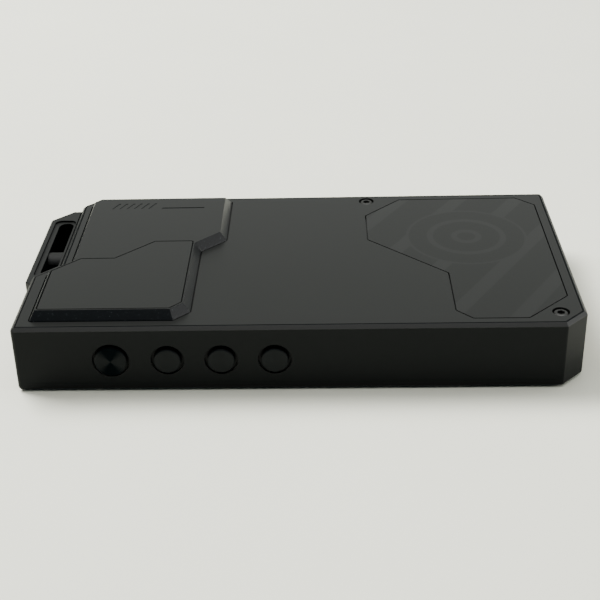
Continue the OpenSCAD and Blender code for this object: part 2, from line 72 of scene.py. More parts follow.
def cornerRing(corners, radii, inset=0.0, steps=8):
    # Each corner becomes an arc, centre + bend * (cos, sin), swept from one edge's normal to the
    # next. An inset moves every edge inwards, tightens outer corners and opens inner ones.
    p = np.array(corners, float)
    r = np.broadcast_to(np.asarray(radii, float), len(p))
    a = inwardNormals(np.roll(p, 1, 0), p)
    b = inwardNormals(p, np.roll(p, -1, 0))
    dot = (a * b).sum(1)
    turn = np.arctan2(a[:, 0] * b[:, 1] - a[:, 1] * b[:, 0], dot)
    side = np.sign(turn)
    bend = np.maximum(r - side * inset, 0.02)
    centre = p + (inset + side * bend)[:, None] * (a + b) / (1 + dot)[:, None]
    start = np.arctan2(-side * a[:, 1], -side * a[:, 0])
    angle = start[:, None] + turn[:, None] * np.linspace(0, 1, steps)
    arc = np.stack([np.cos(angle), np.sin(angle)], 2) * bend[:, None, None]
    return (centre[:, None, :] + arc).reshape(-1, 2)


def softPath(points, soft, steps=5):
    # A polyline whose inner corners are quadratic curves, (1-s)^2 A + 2s(1-s) P + s^2 B,
    # with A and B a soft distance back along the two legs.
    p = np.array(points, float)
    back, ahead = p[:-2] - p[1:-1], p[2:] - p[1:-1]
    backLength, aheadLength = np.linalg.norm(back, axis=1), np.linalg.norm(ahead, axis=1)
    reach = np.minimum(np.broadcast_to(soft, len(back)), 0.48 * np.minimum(backLength, aheadLength))
    a = p[1:-1] + back * (reach / backLength)[:, None]
    b = p[1:-1] + ahead * (reach / aheadLength)[:, None]
    s = np.linspace(0, 1, steps)[None, :, None]
    curve = (1 - s) ** 2 * a[:, None] + 2 * s * (1 - s) * p[1:-1][:, None] + s ** 2 * b[:, None]
    return np.vstack([p[:1], curve.reshape(-1, 2), p[-1:]])


def gridFaces(rows, columns):  # quads of a grid that closes round its columns
    i = np.arange(rows - 1)[:, None] * columns
    j = np.arange(columns)[None, :]
    k = (j + 1) % columns
    return np.stack([i + j, i + k, i + columns + k, i + columns + j], -1)


def band(corners, radii, path, place, steps=8, leaveOut=()):
    # A profile of (inset, height) carried round an outline: one ring for each profile point.
    rings = np.stack([cornerRing(corners, radii, inset, steps) for inset in path[:, 0]])
    return ringBand(rings, path[:, 1], place, leaveOut)


def ringBand(rings, heights, place, leaveOut=()):
    height = np.broadcast_to(heights[:, None], rings.shape[:2])
    faces = gridFaces(*rings.shape[:2])
    keep = np.ones(faces.shape[:2], bool)
    for row, column in leaveOut:
        keep[row, column] = False
    return place(rings[..., 0], rings[..., 1], height).reshape(-1, 3), faces[keep].tolist()


def flatFace(loops, height, place):
    # Triangles between an outer loop and its holes, at one height. A triangle is kept when a ray
    # from its middle crosses the loops an odd number of times.
    sizes = [len(loop) for loop in loops]
    starts = np.cumsum([0] + sizes[:-1])
    edges = np.vstack([np.stack([start + np.arange(n), start + (np.arange(n) + 1) % n], 1)
                       for start, n in zip(starts, sizes)])
    flat = np.vstack(loops)
    corners, _, faces = delaunay_2d_cdt(list(map(Vector, flat.tolist())), edges.tolist(), [], 1, 1e-6)[:3]
    corners, faces = np.array([tuple(v) for v in corners]), np.array(faces)
    middle = corners[faces].mean(1)
    a, b = flat[edges[:, 0]], flat[edges[:, 1]]
    spans = (a[None, :, 1] > middle[:, None, 1]) != (b[None, :, 1] > middle[:, None, 1])
    rise = np.where(a[:, 1] == b[:, 1], 1, b[:, 1] - a[:, 1])
    cross = a[:, 0] + (middle[:, None, 1] - a[:, 1]) / rise * (b[:, 0] - a[:, 0])
    keep = (spans & (cross > middle[:, None, 0])).sum(1) % 2 == 1
    return place(corners[:, 0], corners[:, 1], np.full(len(corners), float(height))), faces[keep].tolist()


def square(x, y, r):  # corners of a square round a point: with radii of r it is a circle
    return [(x - r, y - r), (x + r, y - r), (x + r, y + r), (x - r, y + r)]


def rectangle(x0, y0, x1, y1):
    return [(x0, y0), (x1, y0), (x1, y1), (x0, y1)]


def turned(profile, place, x, y, columns=96):
    # A profile of (radius, height) turned round an axis through (x, y).
    profile = np.array(profile, float)
    angle = np.linspace(0, 2 * np.pi, columns, endpoint=False)
    radius, height = profile[:, :1], np.broadcast_to(profile[:, 1:], (len(profile), columns))
    verts = place(x + radius * np.cos(angle), y + radius * np.sin(angle), height)
    return verts.reshape(-1, 3), gridFaces(len(profile), columns).reshape(-1, 4).tolist()


def upward(p, q, h):
    return np.stack([p, q, h], -1)


def makePiece(name, sheets, mat, body, stands, second=None, chosen=None, sharp=38):
    # Joins the sheets into one closed mesh, turns its faces outwards and weights its normals.
    verts, faces, base = [], [], 0
    for sheetVerts, sheetFaces in sheets:
        verts.append(np.asarray(sheetVerts).reshape(-1, 3))
        faces += [[base + v for v in face] for face in sheetFaces]
        base += len(verts[-1])
    mesh = bpy.data.meshes.new(name)
    mesh.from_pydata((np.vstack(verts) * mm).tolist(), [], faces)
    work = bmesh.new()
    work.from_mesh(mesh)
    bmesh.ops.remove_doubles(work, verts=work.verts, dist=6e-7)
    bmesh.ops.dissolve_degenerate(work, edges=work.edges, dist=1e-7)
    bmesh.ops.recalc_face_normals(work, faces=work.faces)
    openEdges = sum(len(edge.link_faces) != 2 for edge in work.edges)
    work.to_mesh(mesh)
    work.free()
    mesh.shade_smooth()
    mesh.set_sharp_from_angle(angle=math.radians(sharp))
    mesh.materials.append(mat)
    obj = bpy.data.objects.new(name, mesh)
    bpy.context.scene.collection.objects.link(obj)
    weighted = obj.modifiers.new("weighted", "WEIGHTED_NORMAL")
    weighted.keep_sharp = True
    weighted.weight = 100
    if second:  # a second finish on the faces chosen by their normals and middles
        mesh.materials.append(second)
        normals, middles = np.empty((2, len(mesh.polygons) * 3), np.float32)
        mesh.polygons.foreach_get("normal", normals)
        mesh.polygons.foreach_get("center", middles)
        pick = chosen(normals.reshape(-1, 3), middles.reshape(-1, 3) / mm)
        mesh.polygons.foreach_set("material_index", pick.astype(np.int32))
    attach(obj, body)
    if stands:
        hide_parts(*stands)
    print("made", name, len(mesh.polygons), "faces,", openEdges, "open edges")
    return obj


def newMaterial(name):
    mat = bpy.data.materials.new(name)
    mat.use_nodes = True
    return mat, mat.node_tree, mat.node_tree.nodes["Principled BSDF"]


def setSockets(shader, values):
    for socket, value in values.items():
        shader.inputs[socket].default_value = value


def addNode(tree, kind, values=None, **settings):
    node = tree.nodes.new(kind)
    for key, value in settings.items():
        setattr(node, key, value)
    for socket, value in (values or {}).items():
        node.inputs[socket].default_value = value
    return node


def objectPoint(tree, location=(0, 0, 0), rotation=(0, 0, 0), scale=(1, 1, 1)):
    coords = addNode(tree, "ShaderNodeTexCoord")
    mapping = addNode(tree, "ShaderNodeMapping",
                      {"Location": location, "Rotation": rotation, "Scale": scale})
    tree.links.new(coords.outputs["Object"], mapping.inputs["Vector"])
    return mapping.outputs["Vector"]


def noise(tree, vector, scale, detail=2.0, roughness=0.5):
    node = addNode(tree, "ShaderNodeTexNoise",
                   {"Scale": scale, "Detail": detail, "Roughness": roughness})
    tree.links.new(vector, node.inputs["Vector"])
    return node.outputs["Fac"]


def mapRange(tree, source, low, high, toLow, toHigh):
    node = addNode(tree, "ShaderNodeMapRange",
                   {"From Min": low, "From Max": high, "To Min": toLow, "To Max": toHigh})
    tree.links.new(source, node.inputs["Value"])
    return node.outputs["Result"]


def colourRamp(tree, source, stops):
    node = addNode(tree, "ShaderNodeValToRGB")
    ramp = node.color_ramp
    while len(ramp.elements) < len(stops):
        ramp.elements.new(0.5)
    for element, (place, colour) in zip(ramp.elements, stops):
        element.position = place
        element.color = (*colour, 1)
    tree.links.new(source, node.inputs["Fac"])
    return node.outputs["Color"]


def bump(tree, shader, height, strength, distance):
    node = addNode(tree, "ShaderNodeBump", {"Strength": strength, "Distance": distance})
    tree.links.new(height, node.inputs["Height"])
    tree.links.new(node.outputs["Normal"], shader.inputs["Normal"])


def math2(tree, operation, a, b=None):  # a and b are sockets or numbers
    node = addNode(tree, "ShaderNodeMath", operation=operation)
    for index, value in enumerate([a] if b is None else [a, b]):
        if isinstance(value, (int, float)):
            node.inputs[index].default_value = value
        else:
            tree.links.new(value, node.inputs[index])
    return node.outputs["Value"]


anodised = {  # bead-blasted case: soft, even and very dark
    "colour": (0.0009, 0.0020, 0.0024),
    "lift": (0.0013, 0.0026, 0.0031),
    "roughness": 0.46,
    "specular": 0.10,
    "grain": 6500,
    "grainDepth": 0.000010,
}

satin = {  # back plate and panels: smoother, so they take more of the room
    "colour": (0.0024, 0.0029, 0.0023),
    "lift": (0.0032, 0.0037, 0.0031),
    "roughness": 0.33,
    "specular": 0.5,
    "grain": 9000,
    "grainDepth": 0.000005,
}


def blackFinish(name, look):
    mat, tree, shader = newMaterial(name)
    point = objectPoint(tree)
    cloud = noise(tree, point, 45, 1)
    grain = noise(tree, point, look["grain"], 2, 0.6)
    tree.links.new(colourRamp(tree, cloud, [(0.15, look["colour"]), (0.85, look["lift"])]),
                   shader.inputs["Base Color"])
    tree.links.new(mapRange(tree, cloud, 0.1, 0.9, look["roughness"] - 0.02, look["roughness"] + 0.02),
                   shader.inputs["Roughness"])
    setSockets(shader, {"Specular IOR Level": look["specular"]})
    bump(tree, shader, grain, 0.3, look["grainDepth"])
    return mat, tree, shader


def plainFinish(name, colour, roughness, metallic=0.0, variation=0.12, grain=4000, **sockets):
    mat, tree, shader = newMaterial(name)
    point = objectPoint(tree)
    cloud = noise(tree, point, 160, 3)
    low = tuple(c * (1 - variation) for c in colour)
    high = tuple(min(1, c * (1 + variation)) for c in colour)
    tree.links.new(colourRamp(tree, cloud, [(0.3, low), (0.7, high)]), shader.inputs["Base Color"])
    tree.links.new(mapRange(tree, cloud, 0.3, 0.7, roughness * 0.85, min(1, roughness * 1.15)),
                   shader.inputs["Roughness"])
    setSockets(shader, {"Metallic": metallic, **sockets})
    bump(tree, shader, noise(tree, point, grain, 2), 0.25, 0.00001)
    return mat


def paintedGlintSlope():  # dark blue-black lacquer on the slopes of the cover, with fine pale specks painted into its colour as glints
    mat, tree, shader = newMaterial("paintedGlintSlope")
    point = objectPoint(tree)
    flakes = addNode(tree, "ShaderNodeTexVoronoi", {"Scale": 2600.0, "Randomness": 1.0})
    tree.links.new(point, flakes.inputs["Vector"])
    pick = noise(tree, point, 1300, 1)
    near = mapRange(tree, flakes.outputs["Distance"], 0.12, 0.34, 1.0, 0.0)
    some = mapRange(tree, pick, 0.55, 0.68, 0.0, 1.0)
    # painted glints: the pale specks stand for the sparkle of the slopes
    paintedGlints = math2(tree, "MULTIPLY", near, some)
    tree.links.new(colourRamp(tree, paintedGlints, [(0.0, (0.0009, 0.0017, 0.0023)), (1.0, (0.045, 0.055, 0.06))]),
                   shader.inputs["Base Color"])
    setSockets(shader, {"Roughness": 0.32, "Specular IOR Level": 0.34})
    bump(tree, shader, flakes.outputs["Distance"], 0.25, 0.00003)
    return mat


def panelPrint():  # the inlaid panel: satin black with a faint glossier pattern of bands and rings
    mat, tree, shader = blackFinish("printedPanel", satin)
    point = objectPoint(tree, rotation=(0, 0, math.radians(32)))
    parts = addNode(tree, "ShaderNodeSeparateXYZ")
    tree.links.new(point, parts.inputs["Vector"])
    stripe = math2(tree, "PINGPONG", parts.outputs["X"], 0.0065)
    bands = mapRange(tree, stripe, 0.0046, 0.0047, 0.0, 1.0)
    centre = objectPoint(tree, location=(-0.042, -0.009, 0))
    away = addNode(tree, "ShaderNodeVectorMath", operation="LENGTH")
    flatten = addNode(tree, "ShaderNodeVectorMath", operation="MULTIPLY")
    flatten.inputs[1].default_value = (1, 1, 0)
    tree.links.new(centre, flatten.inputs[0])
    tree.links.new(flatten.outputs["Vector"], away.inputs[0])
    inside = mapRange(tree, away.outputs["Value"], 0.0148, 0.0150, 1.0, 0.0)
    rings = mapRange(tree, math2(tree, "PINGPONG", away.outputs["Value"], 0.003), 0.0022, 0.0023, 0.0, 1.0)
    outside = math2(tree, "SUBTRACT", 1.0, inside)
    pattern = math2(tree, "ADD", math2(tree, "MULTIPLY", inside, rings),
                    math2(tree, "MULTIPLY", outside, bands))
    tree.links.new(mapRange(tree, pattern, 0.0, 1.0, satin["roughness"], satin["roughness"] - 0.03),
                   shader.inputs["Roughness"])
    tree.links.new(colourRamp(tree, pattern, [(0.0, satin["colour"]), (1.0, (0.0056, 0.0061, 0.0055))]),
                   shader.inputs["Base Color"])
    return mat


def spunKey(name, centre, power):
    # Turned face: the highlight stretches out from the middle of the key, across the tool marks.
    mat, tree, shader = newMaterial(name)
    away = objectPoint(tree, location=(-centre[0], 0, -centre[2]))
    parts = addNode(tree, "ShaderNodeSeparateXYZ")
    tree.links.new(away, parts.inputs["Vector"])
    radial = addNode(tree, "ShaderNodeCombineXYZ")
    tree.links.new(parts.outputs["X"], radial.inputs["X"])
    tree.links.new(parts.outputs["Z"], radial.inputs["Z"])
    tree.links.new(radial.outputs["Vector"], shader.inputs["Tangent"])
    length = addNode(tree, "ShaderNodeVectorMath", operation="LENGTH")
    tree.links.new(radial.outputs["Vector"], length.inputs[0])
    marks = math2(tree, "PINGPONG", length.outputs["Value"], 0.00006)
    cloud = noise(tree, objectPoint(tree), 300, 2)
    tones = [(0.3, (0.0008, 0.0021, 0.0027)), (0.7, (0.0014, 0.0031, 0.0038))]
    tree.links.new(colourRamp(tree, cloud, tones),
                   shader.inputs["Base Color"])
    if power:  # painted highlight: the specular level is raised to the left and right of the middle, where the light catches the tool marks in this room
        sideways = math2(tree, "DIVIDE", math2(tree, "ABSOLUTE", parts.outputs["X"]), length.outputs["Value"])
        paintedHighlightWedge = mapRange(tree, sideways, 0.5, 0.85, 0.01, 0.09)
        tree.links.new(paintedHighlightWedge, shader.inputs["Specular IOR Level"])
        setSockets(shader, {"Roughness": 0.42, "Anisotropic": 0.95})
    else:
        setSockets(shader, {"Roughness": 0.5, "Anisotropic": 0.3, "Specular IOR Level": 0.12})
    bump(tree, shader, marks, 0.2 if power else 0.06, 0.00002)
    return mat


def displayGlass():  # black cover glass, with the display's own area a shade lighter
    mat, tree, shader = newMaterial("coverGlass")
    low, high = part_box("lcd_module")
    parts = addNode(tree, "ShaderNodeSeparateXYZ")
    tree.links.new(objectPoint(tree, location=(-(low[0] + high[0]) / 2, 0, 0)), parts.inputs["Vector"])
    alongX = mapRange(tree, math2(tree, "ABSOLUTE", parts.outputs["X"]), 0.0519, 0.0521, 1.0, 0.0)
    acrossY = mapRange(tree, math2(tree, "ABSOLUTE", parts.outputs["Y"]), 0.0291, 0.0293, 1.0, 0.0)
    tree.links.new(colourRamp(tree, math2(tree, "MULTIPLY", alongX, acrossY),
                              [(0.0, (0.0022, 0.0022, 0.0024)), (1.0, (0.0075, 0.0080, 0.0092))]),
                   shader.inputs["Base Color"])
    setSockets(shader, {"Roughness": 0.05, "IOR": 1.52, "Coat Weight": 0.3, "Coat Roughness": 0.03})
    return mat


finishes = {
    "case": blackFinish("anodisedCase", anodised)[0],
    # a lighter, shinier copy of the case finish for faces that look upwards: painted highlight
    "edge": blackFinish("anodisedPaintedHighlight", {**satin, "roughness": 0.58, "specular": 0.6})[0],
    "plate": blackFinish("satinPlate", satin)[0],
    "cover": blackFinish("satinCover", satin)[0],
    "screw_black": plainFinish("blackOxideScrew", (0.085, 0.085, 0.082), 0.36, 0.95),
    "glass": displayGlass(),
    "adhesive": plainFinish("foamAdhesive", (0.012, 0.012, 0.012), 0.8),
    "lcd": plainFinish("displayModule", (0.02, 0.02, 0.024), 0.3),
    "flex": plainFinish("amberFilm", (0.42, 0.19, 0.035), 0.35),
    "battery": plainFinish("batteryFoil", (0.55, 0.56, 0.57), 0.35, 0.6),
    "lead": plainFinish("redInsulation", (0.4, 0.02, 0.015), 0.5),
    "connector": plainFinish("ivoryPlastic", (0.7, 0.66, 0.56), 0.5),
    "board": plainFinish("solderMask", (0.008, 0.06, 0.035), 0.3),
    "shield": plainFinish("tinnedShield", (0.6, 0.6, 0.61), 0.3, 1.0),
    "copper": plainFinish("bareCopper", (0.72, 0.36, 0.22), 0.3, 1.0),
    "gold": plainFinish("goldPlate", (0.83, 0.6, 0.25), 0.22, 1.0),
    "capacitor": plainFinish("blueSleeve", (0.03, 0.08, 0.25), 0.3),
    "socket": plainFinish("socketMoulding", (0.02, 0.02, 0.02), 0.5),
    "steel": plainFinish("plainSteel", (0.6, 0.6, 0.61), 0.28, 1.0),
    "key": blackFinish("anodisedKey", anodised)[0],
    "switch": plainFinish("switchMoulding", (0.6, 0.6, 0.58), 0.5),
}

for name, obj in nodes.items():
    obj.data.materials.clear()
    obj.data.materials.append(finishes[slotOf[name]])
print("finishes on every node")


caseLow, caseHigh = boxOf("frame")
caseShape = {
    "right": caseHigh[0],
    "loop": caseLow[0],
    "left": caseHigh[0] - 128.2,
    "edge": caseHigh[1],
    "top": caseHigh[2],
    "bottom": caseLow[2],
    "cornerCut": 5.2,
    "endStep": 5.9,
    "stepY": -9.2,
    "endChamfer": 4.0,
    "radii": [1.0, 0.7, 0.7, 1.3, 0.6, 0.6, 0.5, 0.5],
    "rimBevel": 0.75,
    "rimWidth": 1.0,
    "wall": 2.2,
    "ledge": 15.35,
    "floor": 3.4,
    "web": 2.6,
    "shelf": 1.0,
    "glassInset": 1.15,
    "edgeRound": 1.0,
    "soft": 0.10,
}
right, left, edge, top = (caseShape[key] for key in ("right", "left", "edge", "top"))
stepX = left + caseShape["endStep"]
caseCorners = [
    (left, -edge),
    (right - caseShape["cornerCut"], -edge),
    (right, -edge + caseShape["cornerCut"]),
    (right, edge),
    (stepX + caseShape["endChamfer"], edge),
    (stepX, edge - caseShape["endChamfer"]),
    (stepX, caseShape["stepY"] + caseShape["endStep"]),
    (left, caseShape["stepY"]),
]
rimBase = top - caseShape["rimBevel"]


def frontward(p, q, h):  # h out of the wall with the power key
    return np.stack([p, -edge - h, q], -1)


def rearward(p, q, h):  # h out of the far long wall
    return np.stack([p, edge + h, q], -1)


def endward(p, q, h):  # h out of the wall with the sockets
    return np.stack([np.full(np.shape(p), right) + h, p, q], -1)


keyShape = {
    "power": {"r": 3.65, "gap": 0.52},
    "other": {"r": 3.03, "gap": 0.70},
    "fit": 0.06,
    "recess": 0.9,
    "proud": 0.6,
    "chamfer": 0.2,
    "dish": 0.06,
    "flange": (4.4, 0.6, 0.05),  # radius, thickness, gap to the wall
    "post": (1.2, 1.6),          # radius, length
}
frontKeys = ["power_key", "previous_key", "play_key", "next_key"]
rearKeys = ["volume_up_key", "volume_down_key", "function_key"]


def middleOf(node):
    low, high = boxOf(node)
    return (low + high) / 2


def roundHole(x, z, mouth, guide, recess):  # a wide mouth, then a guide bore to the inner face
    path = softPath([(-0.15, 0), (0, 0), (0, -recess), (mouth - guide, -recess),
                     (mouth - guide, -caseShape["wall"])], [0.07, 0.05, 0.05])
    return {"corners": square(x, z, mouth), "radii": mouth, "path": path, "steps": 16}


def keyHole(node):
    kind = keyShape["power" if node == "power_key" else "other"]
    x, _, z = middleOf(node)
    return roundHole(x, z, kind["r"] + kind["gap"], kind["r"] + keyShape["fit"], keyShape["recess"])


def straightHole(corners, radii, steps=10):
    path = softPath([(-0.15, 0), (0, 0), (0, -caseShape["wall"])], [0.08])
    return {"corners": corners, "radii": radii, "path": path, "steps": steps}


def ringHole(node):
    low, high = boxOf(node)
    middle, r = (low + high) / 2, (high[1] - low[1]) / 2 + 0.02
    return straightHole(square(middle[1], middle[2], r), r, 16)


def usbHole():
    y, z = middleOf("usb_port")[1], middleOf("headphone_ring")[2]
    halfWidth, halfHeight = 4.6, 1.75
    return straightHole(rectangle(y - halfWidth, z - halfHeight, y + halfWidth, z + halfHeight), halfHeight)


def cardSlit():
    x, z = middleOf("card_socket")[0], 5.8
    return straightHole(rectangle(x - 6.2, z - 0.7, x + 6.2, z + 0.7), 0.25)


def wallSheets(span, low, high, innerSpan, innerLow, innerHigh, holes, place):
    # One flat wall with holes right through it: outer face, inner face and the holes' own sides.
    outer = [np.array(rectangle(span[0], low, span[1], high))]
    inner = [np.array(rectangle(innerSpan[0], innerLow, innerSpan[1], innerHigh))]
    sheets = []
    for hole in holes:
        path = hole["path"]
        outer.append(cornerRing(hole["corners"], hole["radii"], path[0, 0], hole["steps"]))
        inner.append(cornerRing(hole["corners"], hole["radii"], path[-1, 0], hole["steps"]))
        sheets.append(band(hole["corners"], hole["radii"], path, place, hole["steps"]))
    sheets.append(flatFace(outer, 0, place))
    sheets.append(flatFace(inner, -caseShape["wall"], place))
    return sheets


def caseProfile():
    # Lip round the glass, rounded lower edge, wall, bevel, rim, ledge and inner wall.
    s = caseShape
    angle = np.linspace(-0.5 * np.pi, -np.pi, 9)
    lower = np.stack([s["edgeRound"] * (1 + np.cos(angle)),
                      s["bottom"] + s["edgeRound"] * (1 + np.sin(angle))], 1)
    lip = softPath([(s["glassInset"], s["shelf"]), (s["glassInset"], s["bottom"]), tuple(lower[0])], [0.05])
    upper = softPath([tuple(lower[-1]), (0, rimBase), (s["rimBevel"], top), (s["rimWidth"], top),
                      (s["rimWidth"], s["ledge"]), (s["wall"], s["ledge"]), (s["wall"], s["floor"])],
                     [s["soft"], s["soft"], 0.06, 0.05, 0.05])
    return np.vstack([lip[:-1], lower[:-1], upper])


def buildCase():
    s, steps = caseShape, 8
    path = caseProfile()
    rise = np.diff(path[:, 1])
    outerRow, innerRow = int(np.argmax(rise)), int(np.argmin(rise))
    ring = cornerRing(caseCorners, s["radii"], 0, steps)
    innerRing = cornerRing(caseCorners, s["radii"], s["wall"], steps)
    walls = [  # edge of the outline, coordinate that runs along it, holes, placing
        (0, 0, [keyHole(key) for key in frontKeys], frontward),
        (2, 1, [ringHole("headphone_ring"), ringHole("balanced_ring"), usbHole()], endward),
        (3, 0, [keyHole(key) for key in rearKeys] + [cardSlit()], rearward),
    ]
    leaveOut, sheets = [], []
    for corner, axis, holes, place in walls:
        column = (corner + 1) * steps - 1
        leaveOut += [(outerRow, column), (innerRow, column)]
        span = sorted(ring[[column, column + 1], axis])
        innerSpan = sorted(innerRing[[column, column + 1], axis])
        sheets += wallSheets(span, path[outerRow, 1], path[outerRow + 1, 1],
                             innerSpan, path[innerRow + 1, 1], path[innerRow, 1], holes, place)
    sheets.append(band(caseCorners, s["radii"], path, upward, steps, leaveOut))
    low, high = boxOf("lcd_module")
    pocket = rectangle(low[0] - 0.4, low[1] - 0.3, high[0] + 0.4, high[1] + 0.3)
    flexSlot = np.array(rectangle(-52.2, -8, -50.2, 8))
    shelfRing = cornerRing(caseCorners, s["radii"], s["glassInset"], steps)
    pocketRing = cornerRing(pocket, 0.4)
    sheets += [
        flatFace([shelfRing, pocketRing], s["shelf"], upward),
        band(pocket, 0.4, np.array([(0, s["shelf"]), (0, s["web"])]), upward),
        flatFace([pocketRing, flexSlot], s["web"], upward),
        (np.vstack([np.column_stack([flexSlot, np.full(4, z)]) for z in (s["web"], s["floor"])]),
         gridFaces(2, 4).reshape(-1, 4).tolist()),
        flatFace([innerRing, flexSlot], s["floor"], upward),
    ]
    return sheets + postSheets()


postShape = {
    "bosses": [(17.96, 30.55), (58.87, -28.87), (-57.6, -28.4), (-51.5, 28.3)],
    "bossRadius": 2.3,
    "bossTop": 14.25,
    "audio": [(23.4, -28.4), (51.5, -28.4), (23.4, 26), (58.5, 28)],
    "main": [(-58.6, -18), (-41.7, -23.3), (-41.7, 23.3), (-52.6, 22.5)],
    "standoffRadius": 1.7,
}


def postSheets():  # bored posts that stand on the web
    base = caseShape["floor"] - 0.3
    audioTop, mainTop = boxOf("audio_board")[0][2], boxOf("main_board")[0][2]
    groups = [(postShape["bosses"], postShape["bossRadius"], postShape["bossTop"], 0.8, 7),
              (postShape["audio"], postShape["standoffRadius"], audioTop, 0.7, 0.5),
              (postShape["main"], postShape["standoffRadius"], mainTop, 0.7, 2.5)]
    sheets = []
    for places, r, height, bore, depth in groups:
        profile = softPath([(0, base), (r, base), (r, height), (bore, height), (bore, height - depth),
                            (0, height - depth)], [0.02, 0.1, 0.08, 0.02])
        sheets += [turned(profile, upward, x, y, 40) for x, y in places]
    return sheets


loopShape = {
    "out": caseShape["loop"],
    "ends": (-10.6, 28.35),
    "radii": [0.6, 0.3, 0.3, 0.3, 0.8, 0.8],
    "bevel": 0.35,
    "slotX": (caseShape["loop"] + 2.6, stepX - 1.0),
    "slotY": (-6.2, 21.95),
    "rim": (1.25, 0.5, 1.85, 0.85),   # how far the shallow step stands off the slot's four sides
    "rimDepth": 0.5,
    "groove": (0.28, 0.4),           # width and depth of the line along the case
    "bar": (5.56, 12.33, 2.6),       # y, z and radius of the bar across the slot
}


def slotCorners(x0, x1, y0, y1):
    return [(x0, y0), (x1, y0 + x1 - x0), (x1, y1), (x0, y1)]


def buildLoop():
    s, leftEnd = loopShape, left
    out, (y0, y1) = s["out"], s["ends"]
    outReach = leftEnd - out
    corners = [(out, y0), (leftEnd, y0 - outReach), (stepX + 1, caseShape["stepY"]), (stepX + 1, y1),
               (stepX - 2.15, y1), (out, y1 - 5.15)]
    base, crown, b = caseShape["bottom"] + s["bevel"], rimBase, s["bevel"]
    flat = b + 0.1
    outer = softPath([(flat, base), (b, base), (0, base + b), (0, crown - b), (b, crown), (flat, crown)],
                     [0.08, 0.1, 0.1, 0.1])
    (sx0, sx1), (sy0, sy1) = s["slotX"], s["slotY"]
    slot = slotCorners(sx0, sx1, sy0, sy1)
    slotRadii = [0.5, 0.5, (sx1 - sx0) / 2 - 0.05, (sx1 - sx0) / 2 - 0.05]
    rim = slotCorners(sx0 - s["rim"][0], sx1 + s["rim"][1], sy0 - s["rim"][2], sy1 + s["rim"][3])
    rimRadii = [0.5, 0.5, 1.6, 1.6]
    floor = crown - s["rimDepth"]
    rimPath = softPath([(-0.12, crown), (0, crown), (0, floor), (0.1, floor)], [0.05, 0.03])
    slotPath = softPath([(-0.12, floor), (0, floor), (0, base), (-0.12, base)], [0.06, 0.06])
    wide, deep = s["groove"]
    stepY, near = caseShape["stepY"], leftEnd + 0.8
    groove = [(near, stepY + 0.8), (stepX + 0.3, stepY + caseShape["endStep"] + 0.3), (stepX + 0.3, y1 - 0.6),
              (stepX - wide, y1 - 0.6), (stepX - wide, stepY + caseShape["endStep"] + 0.4 * wide),
              (near - 0.7 * wide, stepY + 0.8 + 0.7 * wide)]
    barY, barZ, barRadius = s["bar"]
    bar = square(barY, barZ, barRadius)

    def sideways(p, q, h):
        return np.stack([h, p, q], -1)

    ends = (sx0 - 0.5, sx1 + 0.5)
    return [
        band(corners, s["radii"], outer, upward),
        flatFace([cornerRing(corners, s["radii"], flat), cornerRing(rim, rimRadii, -0.12),
                  cornerRing(groove, 0.05, -0.04, 3)], crown, upward),
        band(groove, 0.05, softPath([(-0.04, crown), (0, crown), (0, crown - deep), (0.03, crown - deep)],
                                    [0.03, 0.02]), upward, 3),
        flatFace([cornerRing(groove, 0.05, 0.03, 3)], crown - deep, upward),
        band(rim, rimRadii, rimPath, upward),
        flatFace([cornerRing(rim, rimRadii, 0.1), cornerRing(slot, slotRadii, -0.12)], floor, upward),
        band(slot, slotRadii, slotPath, upward),
        flatFace([cornerRing(corners, s["radii"], flat), cornerRing(slot, slotRadii, -0.12)], base, upward),
        band(bar, barRadius, np.array([(0, ends[0]), (0, ends[1])]), sideways, 12),
        flatFace([cornerRing(bar, barRadius, 0, 12)], ends[0], sideways),
        flatFace([cornerRing(bar, barRadius, 0, 12)], ends[1], sideways),
    ]


# Faces tilted upwards, and the whole top of the loop, take the lighter, shinier copy: painted highlight where
# the light from above falls.
makePiece("case_and_loop", buildCase() + buildLoop(), finishes["case"], "case", ["frame"],
          finishes["edge"], lambda n, at: (n[:, 2] > 0.25) & ((n[:, 2] < 0.95) | (at[:, 0] < stepX)))


coverLeft, coverFront, coverBack = left + 3.3, -edge + 3.4, edge - 3.0
coverShape = {
    "corners": [
        (coverLeft, coverFront), (-27.3, coverFront), (-23.65, coverFront + 3.7), (-23.65, 2.6),
        (-17.7, 8.6), (-17.7, coverBack), (-52.7, coverBack), (-55.2, coverBack - 2.5),
        (-55.2, -4.75), (coverLeft, -9.65),
    ],
    "foot": [                        # where it meets the plate: further in along the left side
        (coverLeft + 0.45, coverFront), (-27.3, coverFront), (-23.65, coverFront + 3.7), (-23.65, 2.6),
        (-17.7, 8.6), (-17.7, coverBack), (-52.7, coverBack), (-54.75, coverBack - 2.05),
        (-54.75, -4.3), (coverLeft + 0.45, -9.2),
    ],
    "radii": [0.6, 0.4, 0.4, 0.4, 0.4, 0.6, 0.4, 0.4, 0.4, 0.4],
    "slope": 1.6,
    "sink": 0.5,
    "top": boxOf("antenna_cover")[1][2],
    "soft": 0.10,
}
plateShape = {
    "gap": 0.16,
    "coverGap": 0.24,
    "groove": 0.28,
    "inlay": 0.7,
    "soft": 0.04,
    "panel": [(17.6, 7.95), (36.0, -10.0), (36.0, -27.65), (39.4, -31.2), (51.6, -31.2),
              (61.4, -21.6), (61.4, 26.8), (57.0, 31.1), (26.6, 31.0), (17.6, 21.6)],
    "screws": [(17.96, 30.55, 0), (58.87, -28.87, 0), (-57.6, -28.4, 0.4), (-51.5, 28.3, 0.4)],
    "counterbore": 1.95,
    "seatDepth": 1.4,
    "shankHole": 0.93,
    "window": (-50, -24, -30, -12),
}
ledge = caseShape["ledge"]


def mouthPath(grow, floor, start, soft=0.06, reach=0.12):  # into a pocket: rounded mouth, side, floor
    return softPath([(-grow - reach, start), (-grow, start), (-grow, floor), (-grow + reach, floor)],
                    [soft, 0.03])


